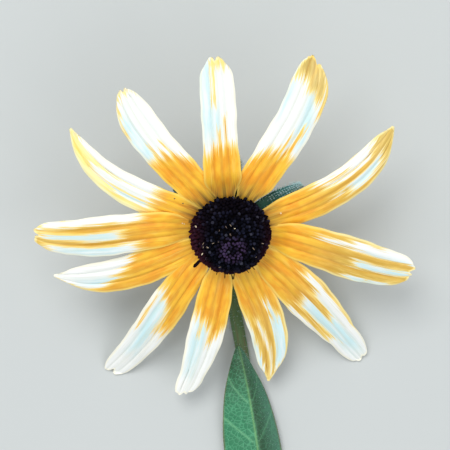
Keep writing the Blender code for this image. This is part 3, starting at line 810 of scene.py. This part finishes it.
# Painted glints on a few florets
FLORET_GLINT_GREY = srgb(80, 80, 90)
FLORET_MAROON = srgb(66, 22, 36)
FLORET_MAUVE = srgb(84, 64, 100)
FLORET_GRAIN = srgb(2, 2, 3)
DOME_DARKS = srgb(3, 2, 3), srgb(9, 5, 8)
POLLENS = srgb(84, 58, 48), srgb(250, 232, 196)
DISC_SPECULAR = 0.05


def floret_materials():
    g = Graph("disc_floret", 0.8)
    g.shader.inputs["Specular IOR Level"].default_value = DISC_SPECULAR
    grain = g.grain(2500.0, 2.0)
    dark = g.mix(g.step(g.value("pick"), 0.5, 1.0), *FLORET_DARKS)
    # Painted glints: a few picked florets turned grey
    dark = g.mix(g.step(g.value("pick"), 0.92, 1.0, 0.0, 0.45), dark, FLORET_GLINT_GREY)
    tone = g.tint(g.value("maroon"), 0.8, dark, FLORET_MAROON)
    tone = g.tint(g.value("ring"), 0.55, tone, FLORET_MAUVE)
    floret = g.finish(g.mix(g.step(grain, 0.5, 0.8, 0.0, 0.5), tone, FLORET_GRAIN), height=grain)
    g = Graph("disc_dome", 0.9)
    g.shader.inputs["Specular IOR Level"].default_value = DISC_SPECULAR
    dome = g.finish(g.mix(g.grain(1500.0), *DOME_DARKS))
    g = Graph("pollen", 0.7)
    pollen = g.finish(g.mix(g.value("bright"), *POLLENS))
    return {"floret": floret, "dome": dome, "pollen": pollen}


def bract_surface(azimuth, reach, width, slope, depth, curl):
    """The middle surface of a bract, how far aside its points are and how far out."""
    t = np.linspace(-1.0, 1.0, BRACT_COLUMNS)[None, :]
    s = (1.0 - (1.0 - np.linspace(0.0, 1.0, BRACT_ROWS)) ** 1.3)[:, None]
    r = BRACT_ROOT + s * (reach - BRACT_ROOT) - 0.5 * t ** 2 * ramp(s, 0.8, 0.2)
    half = 0.5 * width * (1.0 - (1.0 - BRACT_POINT) * s ** 4) * (0.8 + 0.2 * np.sin(math.pi * s))
    angle = math.radians(azimuth)
    x = r * math.cos(angle) - half * t * math.sin(angle)
    y = r * math.sin(angle) + half * t * math.cos(angle)
    z = -depth - (r - BRACT_ROOT) * math.tan(math.radians(slope)) - curl * s ** 3
    z = z - 0.25 * half * np.abs(t) + 0.08 * np.cos(t * 9.0)
    return on_head(x, y, z), half * t, r


def bract_list():
    """Azimuth, reach, width, slope, depth and curl of each bract, as in the solids."""
    for k in range(BRACT_COUNT):
        turn = 360.0 * k / BRACT_COUNT
        if k == LONG_BRACT:
            yield turn + LONG_BRACT_TURN, LONG_BRACT_REACH, LONG_BRACT_WIDTH, 0.5, 2.2, 0.2
        else:
            yield turn - 5.0, 13.4 + 0.7 * (k % 3), 2.7, 6.0 + 2.0 * (k % 2), 2.2, 1.2
        yield turn + 18.0, 11.6 + 0.8 * ((k + 1) % 3), 2.5, 20.0 + 3.0 * (k % 3), 2.7, 2.4


def bract_fuzz(grid, woolly):
    """The hairs of a bract, which are more and thicker on a woolly one."""
    normal = grid_normals(grid)
    rows, columns = grid.shape[:2]
    fuzz = []
    for _ in range(BRACT_HAIRS):
        i, j = rng.integers(5, rows), rng.integers(0, columns)
        if rng.uniform() < 0.45:
            j = rng.choice((0, columns - 1))
        face = 1.0 if rng.uniform() < 0.6 else -1.0
        out = (grid[i, min(j + 1, columns - 1)] - grid[i, max(j - 1, 0)]) * (j / (columns - 1) - 0.5)
        direction = face * normal[i, j] * 0.8 + out / max(np.linalg.norm(out), 1e-6) * 0.8
        direction = direction + (grid[min(i + 1, rows - 1), j] - grid[i - 1, j]) * 0.6
        fuzz.append(hair(grid[i, j], direction, rng.uniform(0.5, 1.2), BRACT_HAIR))
    for _ in range(WOOL_HAIRS if woolly else 0):
        i, j = rng.integers(rows // 3, rows), rng.integers(0, columns)
        direction = normal[i, j] + (grid[min(i + 1, rows - 1), j] - grid[i - 1, j])
        fuzz.append(hair(grid[i, j], direction, rng.uniform(0.4, 0.9), WOOL_HAIR))
    return fuzz


def make_involucre(materials):
    profile = []
    for (r0, z0), (r1, z1) in zip(CUP_PROFILE, CUP_PROFILE[1:]):
        for u in np.arange(CUP_STEPS) / CUP_STEPS:
            profile.append((r0 + (r1 - r0) * u, -(z0 + (z1 - z0) * u)))
    profile = profile[1:]
    sides = CUP_SIDES
    points = [(r * math.cos(2 * math.pi * k / sides), r * math.sin(2 * math.pi * k / sides), z)
              for r, z in profile for k in range(sides)]
    faces = [(i * sides + k, (i + 1) * sides + k, (i + 1) * sides + (k + 1) % sides,
              i * sides + (k + 1) % sides) for i in range(len(profile) - 1) for k in range(sides)]
    faces.append(tuple(range(sides)))
    faces.append(tuple((len(profile) - 1) * sides + k for k in range(sides - 1, -1, -1)))
    cup = new_piece("receptacle_cup", on_head(*np.array(points).T), faces)
    dress(cup, materials["bract"], "bract", "involucre")
    fuzz = []
    for index, place in enumerate(bract_list()):
        grid, side, r = bract_surface(*place)
        points, faces = blade(grid, GREEN_THICKNESS)
        is_long = index == 2 * LONG_BRACT
        woolly = ramp(r, *WOOLLY_RAMP) * float(is_long) + 0 * side
        piece = new_piece("bract_%02d" % (index + 1), points, faces,
                          blade_values({"woolly": woolly}), blade_uv(side + 5.0 * index, r))
        dress(piece, materials["bract"], "bract", "involucre")
        fuzz += bract_fuzz(grid, is_long)
    points, faces, _ = gather(fuzz)
    dress(new_piece("bract_hairs", points, faces), materials["hair"], "bract", "involucre")


def smooth_route(points, step):
    """A Catmull-Rom curve through the points, with a point about every step."""
    points = np.asarray(points, dtype=float)
    ends = np.vstack((2 * points[0] - points[1], points, 2 * points[-1] - points[-2]))
    route = []
    for a, b, c, d in zip(ends, ends[1:], ends[2:], ends[3:]):
        count = max(1, round(np.linalg.norm(c - b) / step))
        for u in np.arange(count)[:, None] / count:
            route.append((0.5 * (2 * b + (c - a) * u + (2 * a - 5 * b + 4 * c - d) * u ** 2
                                 + (3 * b - a - 3 * c + d) * u ** 3))[0:3])
    route.append(points[-1])
    return np.array(route)


def stem_route():
    """The stem's axis: out of the cup, round the neck's bend and along the surface."""
    start = on_head(0, 0, -NECK_START).reshape(3)
    points = []
    for degrees in np.linspace(0.0, 90.0 + HEAD_TILT, 9):
        angle = math.radians(degrees) - TILT
        share = degrees / (90.0 + HEAD_TILT)
        y = start[1] - NECK_BEND * (math.cos(TILT) - math.cos(angle))
        z = start[2] - NECK_BEND * (math.sin(TILT) + math.sin(angle))
        points.append(((start[0] - HEAD_X) * (1 - share) + HEAD_X, y, z))
    for x, y in STEM_ROUTE[1:]:
        points.append((HEAD_X + x, HEAD_Y + y, STEM_AXIS_Z))
    return smooth_route(points, ROUTE_STEP)


def make_stem(materials):
    route = stem_route()
    run = np.concatenate(([0.0], np.cumsum(np.linalg.norm(np.diff(route, axis=0), axis=1))))
    tangents = np.gradient(route, axis=0)
    tangents /= np.linalg.norm(tangents, axis=1, keepdims=True)
    angle = 2 * math.pi * np.arange(STEM_SIDES) / STEM_SIDES
    rings, uv, frames = [], [], []
    for centre, tangent, length in zip(route, tangents, run):
        flare = (STEM_TOP_RADIUS - STEM_RADIUS) * (1 - smooth_step(length / FLARE_RUN))
        thicken = (STEM_CUT_RADIUS - STEM_RADIUS) * ramp(length, THICKEN_FROM, run[-1] - THICKEN_FROM)
        side = np.array((1.0, 0.0, 0.0)) - tangent[0] * tangent
        side /= np.linalg.norm(side)
        up = np.cross(side, tangent)
        radius = STEM_RADIUS + flare + thicken
        ribs = STEM_RIB_HEIGHT * np.cos(STEM_RIBS * angle + 0.05 * length) - STEM_RIB_SUNK
        ring = centre + ((radius + ribs)[:, None]
                         * (np.cos(angle)[:, None] * side + np.sin(angle)[:, None] * up))
        ring[:, 2] = np.maximum(ring[:, 2], 0.0)
        rings.append(ring)
        frames.append((centre, side, up, tangent, radius))
        uv.append(np.stack((angle * STEM_RADIUS, length + 0 * angle), axis=1))
    count = len(route)
    faces = tube_faces(count, STEM_SIDES)
    faces.append(tuple(range(STEM_SIDES - 1, -1, -1)))
    faces.append(tuple((count - 1) * STEM_SIDES + k for k in range(STEM_SIDES)))
    stem = new_piece("flower_stem", np.concatenate(rings), faces, uv=np.concatenate(uv))
    face_outwards(stem)
    dress(stem, materials["stem"], "stem", "stem")
    fuzz = []
    for _ in range(STEM_HAIRS):
        centre, side, up, tangent, radius = frames[int(rng.integers(3, count - 2))]
        a = rng.uniform(0, 2 * math.pi)
        direction = math.cos(a) * side + math.sin(a) * up
        root = centre + direction * radius * 0.98
        if root[2] < 0.5:
            continue
        length = rng.uniform(0.5, 1.2)
        if root[2] + direction[2] * length < 0.1:
            continue
        fuzz.append(hair(root, direction + 0.3 * tangent, length, STEM_HAIR))
    points, faces, _ = gather(fuzz)
    points[:, 2] = np.maximum(points[:, 2], 0.02)
    dress(new_piece("stem_hairs", points, faces), materials["hair"], "stem", "stem")


def face_outwards(obj):
    bm = bmesh.new()
    bm.from_mesh(obj.data)
    bmesh.ops.recalc_face_normals(bm, faces=bm.faces)
    bm.to_mesh(obj.data)
    bm.free()


def vein_wave(s, t):
    """A wave over the leaf that is lowest along its side veins."""
    return np.cos(2 * math.pi * (VEIN_PAIRS * s - 0.9 * np.abs(t)))


def leaf_surface():
    """The leaf's middle surface, s and t of its points and how far aside they are."""
    s = np.linspace(0.0, 1.0, LEAF_ROWS)[:, None]
    t = np.linspace(-1.0, 1.0, LEAF_COLUMNS)[None, :]
    route = stem_route()
    y_mid = LEAF_BASE_Y + s * (LEAF_TIP_Y - LEAF_BASE_Y)
    order = np.argsort(route[:, 1])
    x_mid = np.interp(HEAD_Y + y_mid, route[order, 1], route[order, 0]) - HEAD_X
    half = LEAF_BASE_HALF + LEAF_SWELL * np.sin(math.pi * np.clip(s * 0.86 + 0.05, 0, 1)) ** 0.9
    half = half * (1.0 - 0.9 * s ** 9)
    side = half * t * np.where(t > 0, LEAF_RIGHT_SHARE, 1.0)
    x = x_mid + side - 0.5 * s ** 6
    y = y_mid + 0.15 * side - LEAF_SWEEP * t ** 2 * s ** 2 * (1 - s ** 4)
    slope = np.where(t > 0, LEAF_SLOPE_RIGHT, LEAF_SLOPE_LEFT)
    drape = np.sqrt((slope * side) ** 2 + LEAF_RIDGE_ROUND) - math.sqrt(LEAF_RIDGE_ROUND)
    wave = LEAF_WAVE * np.sin(2 * math.pi * (s * LEAF_WAVES + 0.2 * np.sign(t))) * t ** 2
    vein = VEIN_RELIEF * vein_wave(s, t) * np.abs(t) * (1 - t ** 2)
    z = LEAF_RIDGE - drape + wave + vein + 0.5 * ramp(s, 0.85, 0.15)
    midrib = MIDRIB_DEPTH * np.exp(-(side / MIDRIB_WIDTH) ** 2)
    z = np.maximum(z - midrib, LEAF_LOWEST)
    grid = np.stack((HEAD_X + x + 0 * z, HEAD_Y + y + 0 * z, z), axis=2)
    return grid, s + 0 * z, t + 0 * z, side


def make_leaf(materials):
    grid, s, t, side = leaf_surface()
    points, faces = blade(grid, GREEN_THICKNESS, floor=LEAF_FLOOR)
    values = {"vein": ramp(-vein_wave(s, t), *VEIN_CREST) * ramp(np.abs(t), 0.04, 0.1),
              "midrib": np.exp(-(side / MIDRIB_LINE) ** 2),
              "rim": ramp(np.abs(t), 0.93, 0.06),
              # right and outer carry the painted shade of the leaf's right half
              "right": smooth_step(t / 0.12),
              "outer": ramp(np.abs(t), 0.1, 0.8),
              # tip carries painted shade where the leaf runs under the rays
              "tip": ramp(s, 0.72, 0.26)}
    leaf = new_piece("stem_leaf", points, faces, blade_values(values),
                     blade_uv(side, s * (LEAF_TIP_Y - LEAF_BASE_Y)))
    dress(leaf, materials["leaf"], "leaf", "leaf")
    normal = grid_normals(grid)
    fuzz = []
    for _ in range(LEAF_HAIRS):
        i, j = rng.integers(2, LEAF_ROWS - 1), rng.integers(0, LEAF_COLUMNS)
        edge = rng.uniform() < 0.35
        if edge:
            j = rng.choice((0, LEAF_COLUMNS - 1))
        out = np.array((1.0 if j > LEAF_COLUMNS / 2 else -1.0, 0.3, 0.0))
        direction = out + normal[i, j] * 0.3 if edge else normal[i, j] + np.array((0.0, 0.6, 0.0))
        length = rng.uniform(0.3, 0.6) if edge else rng.uniform(0.25, 0.5)
        fuzz.append(hair(grid[i, j] + normal[i, j] * 0.15, direction, length, LEAF_HAIR))
    points, faces, _ = gather(fuzz)
    dress(new_piece("leaf_hairs", points, faces), materials["hair"], "leaf", "leaf")


# Colours of the green parts
# Painted light and shade of the fold: the left half lighter, the right half darker
LEAF_LIT_LEFTS = srgb(34, 108, 70), srgb(56, 136, 96)
LEAF_SHADED_RIGHTS = srgb(30, 74, 44), srgb(62, 112, 88)
# Painted shade on the leaf's tip, under the rays
LEAF_LEFT_TIP_SHADE = srgb(44, 88, 54)
LEAF_TIP_SHADE = srgb(30, 74, 46)
LEAF_NET = srgb(96, 178, 132)
LEAF_VEIN = srgb(116, 184, 134)
LEAF_MIDRIB = srgb(120, 170, 104)
LEAF_RIM = srgb(122, 112, 70)
STEM_GREENS = srgb(66, 98, 60), srgb(100, 130, 82)
STEM_RED = srgb(110, 62, 50)
BRACT_GREENS = srgb(16, 56, 44), srgb(44, 98, 80)
BRACT_WOOL = srgb(48, 112, 114)
HAIRS = srgb(150, 196, 200), srgb(220, 238, 236)


def green_materials():
    g = Graph("leaf_blade", 0.55)
    cells = g.node("TexVoronoi", settings={"feature": "DISTANCE_TO_EDGE"},
                   Vector=g.node("UVMap"), Scale=NET_SCALE)
    net = g.step(cells, 0.0, 0.1, 1.0, 0.0)
    left = g.mix(g.stretched(0.5, 0.3), *LEAF_LIT_LEFTS)
    # Painted shade: the leaf darker towards its tip, under the rays
    left = g.mix(g.value("tip"), left, LEAF_LEFT_TIP_SHADE)
    # Painted shade: the right half darker, most by the midrib
    colour = g.mix(g.value("right"), left, g.mix(g.value("outer"), *LEAF_SHADED_RIGHTS))
    # The net and veins are painted fainter in the shaded right half
    lit_share = g.step(g.value("right"), 0.0, 1.0, 1.0, 0.3)
    colour = g.tint(g.math("MULTIPLY", net, lit_share), 0.5, colour, LEAF_NET)
    colour = g.tint(g.math("MULTIPLY", g.value("vein"), lit_share), 0.6, colour, LEAF_VEIN)
    colour = g.tint(g.value("midrib"), 0.7, colour, LEAF_MIDRIB)
    colour = g.tint(g.value("tip"), 0.5, colour, LEAF_TIP_SHADE)
    colour = g.tint(g.value("rim"), 0.6, colour, LEAF_RIM)
    leaf = g.finish(colour, height=g.step(cells, 0.0, 0.25), depth=0.0001, strength=0.6)
    g = Graph("stem_skin", 0.55)
    noise = g.stretched(3.0, 0.2)
    colour = g.mix(noise, *STEM_GREENS)
    colour = g.mix(g.step(g.stretched(1.0, 0.06), 0.5, 0.75, 0.0, 0.5), colour, STEM_RED)
    stem = g.finish(colour, height=noise, depth=0.00008)
    g = Graph("bract_skin", 0.65)
    noise = g.grain(900.0)
    colour = g.tint(g.value("woolly"), 0.8, g.mix(noise, *BRACT_GREENS), BRACT_WOOL)
    bract = g.finish(colour, height=noise, depth=0.00008)
    g = Graph("pale_hair", 0.5)
    return {"leaf": leaf, "stem": stem, "bract": bract, "hair": g.finish(g.mix(g.grain(700.0), *HAIRS))}


# Colours of the stage
FLOOR_GREY = srgb(196, 200, 198)
STUDIO_LIGHT = srgb(240, 244, 250)


def set_stage():
    """A pale floor, soft light from the picture's top, and the camera over the flower."""
    scene = bpy.context.scene
    scene.view_settings.view_transform = "Standard"
    corners = np.array(((-1, -1, 0), (1, -1, 0), (1, 1, 0), (-1, 1, 0)))
    floor = new_piece("floor", corners * FLOOR_SIDE / MM, [(0, 1, 2, 3)])
    floor.data.materials.append(Graph("pale_floor", 0.9).finish(FLOOR_GREY))
    world = bpy.data.worlds.new("studio")
    scene.world = world
    world.use_nodes = True
    world.node_tree.nodes["Background"].inputs["Color"].default_value = STUDIO_LIGHT
    world.node_tree.nodes["Background"].inputs["Strength"].default_value = WORLD_STRENGTH
    aim = HEAD * MM
    for name, place, size, power in LAMPS:
        light = bpy.data.lights.new(name, "AREA")
        light.size = size
        light.energy = power
        lamp = bpy.data.objects.new(name, light)
        lamp.location = Vector(aim) + Vector(place)
        lamp.rotation_euler = (-Vector(place)).to_track_quat("-Z", "Y").to_euler()
        scene.collection.objects.link(lamp)
    camera = bpy.data.cameras.new("camera")
    camera.sensor_width = SENSOR
    camera.lens = SENSOR * CAMERA_AWAY / PICTURE_WIDTH
    camera.clip_start = CLIP_START
    holder = bpy.data.objects.new("camera", camera)
    holder.location = (aim[0] + PICTURE_MIDDLE[0] * MM, aim[1] + PICTURE_MIDDLE[1] * MM,
                       aim[2] + CAMERA_AWAY * MM)
    scene.collection.objects.link(holder)
    scene.camera = holder


def main():
    set_stage()
    greens = green_materials()
    disc = floret_materials()
    make_rays(ray_material(), disc["pollen"])
    make_disc(disc)
    make_involucre(greens)
    make_stem(greens)
    make_leaf(greens)


main()
